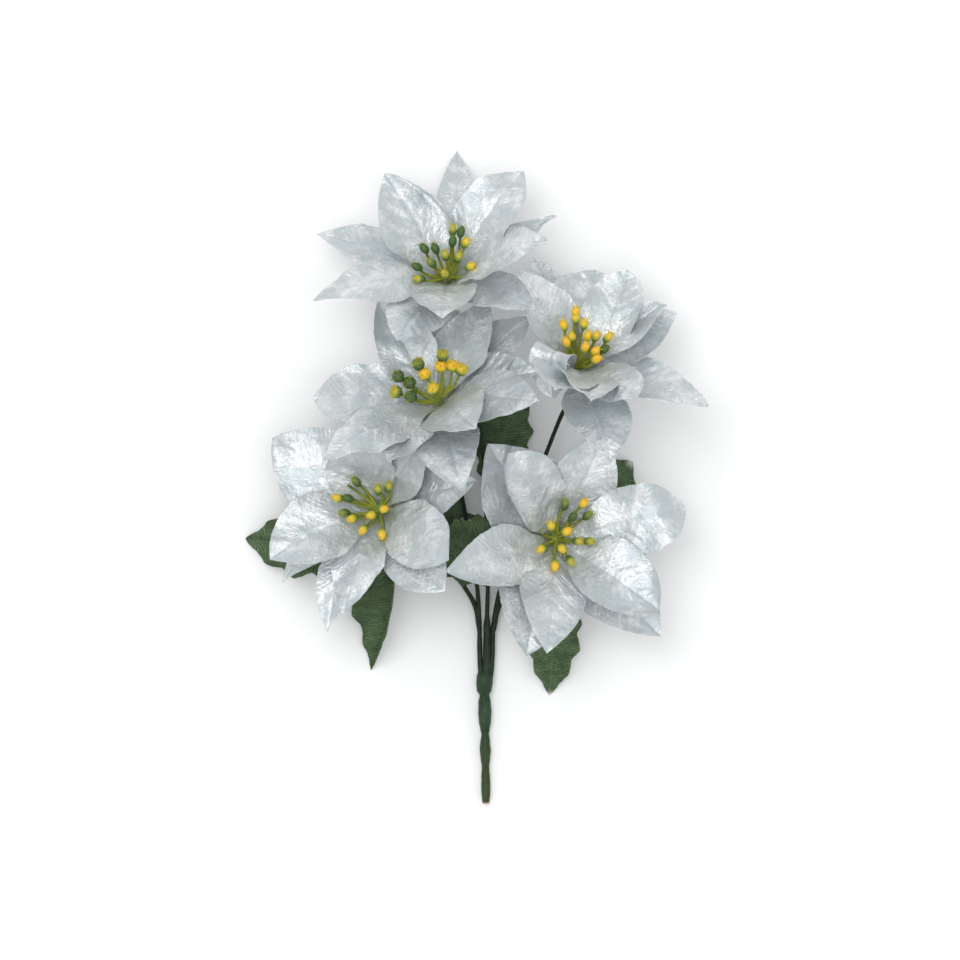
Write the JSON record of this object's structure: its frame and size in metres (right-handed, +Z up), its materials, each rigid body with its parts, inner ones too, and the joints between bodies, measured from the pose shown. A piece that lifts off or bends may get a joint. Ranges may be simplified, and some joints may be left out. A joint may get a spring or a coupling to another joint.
{
  "type": "artificial poinsettia spray",
  "caption": "Silvery white fabric poinsettia blooms with berry tufts and green serrated leaves on one forked moulded stem, lying flat, with no pot.",
  "frame": {"origin": "on the surface that the spray lies on, under the middle of its outline", "axes": "+Z up from the surface, +Y from the stem's cut end to the top bloom, +X to the right when the blooms face the viewer"},
  "size_m": [0.2544, 0.3622, 0.1132],
  "materials": {
    "stem": "moulded dark green plastic, satin",
    "petals": "silvery white satin-like cloth, pressed with fine veins and crinkles",
    "tuft": "moulded berries, yellow and green, on olive stalks",
    "leaves": "dark green cloth with lighter veins and saw-toothed edges"
  },
  "bodies": {
    "root": {"stem": "stem", "back_petals_top": "petals", "front_petals_top": "petals", "tuft_top": "tuft", "back_petals_middle": "petals", "front_petals_middle": "petals", "tuft_middle": "tuft", "back_petals_right": "petals", "front_petals_right": "petals", "tuft_right": "tuft", "back_petals_left": "petals", "front_petals_left": "petals", "tuft_left": "tuft", "back_petals_lower": "petals", "front_petals_lower": "petals", "tuft_lower": "tuft", "leaves_left": "leaves", "leaves_middle": "leaves", "leaves_lower": "leaves"}
  },
  "joints": []
}
